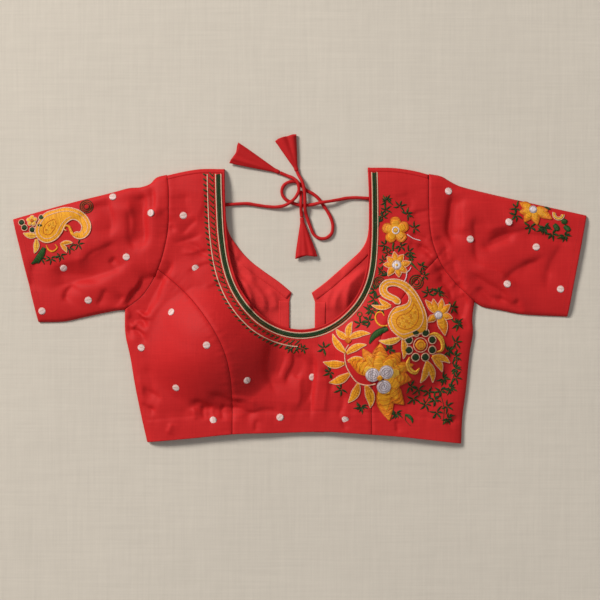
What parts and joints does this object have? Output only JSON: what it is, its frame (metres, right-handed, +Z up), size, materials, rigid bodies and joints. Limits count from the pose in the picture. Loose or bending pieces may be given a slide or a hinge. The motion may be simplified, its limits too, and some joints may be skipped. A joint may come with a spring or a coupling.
{
  "type": "choli blouse",
  "caption": "Choli blouse laid flat, with moulded cups, half sleeves, a deep round front neck, an open back and tie cords ending in cloth tassels.",
  "frame": {"origin": "on the surface the blouse lies on, under the middle of the cloth's box without the cords", "axes": "+X across the sleeves to the right as seen from above, +Y from the hem to the shoulders, +Z up from the surface"},
  "size_m": [0.7706, 0.4161, 0.0473],
  "materials": {
    "silk": "lined art silk with a soft sheen",
    "cord": "rolled silk cord",
    "embroidery": "thread embroidery in green and cream"
  },
  "bodies": {
    "root": {"front_centre": "silk", "front_side_left": "silk", "front_side_right": "silk", "back_left": "silk", "back_right": "silk", "sleeve_left": "silk", "sleeve_right": "silk", "neck_piping": "silk", "neck_braid": "embroidery", "back_facing_left": "silk", "back_facing_right": "silk", "placket_left": "silk", "placket_right": "silk", "dori_left": "cord", "dori_right": "cord", "dori_drop": "cord", "tassel_upper_left": "silk", "tassel_upper": "silk", "tassel_lower": "silk"}
  },
  "joints": []
}
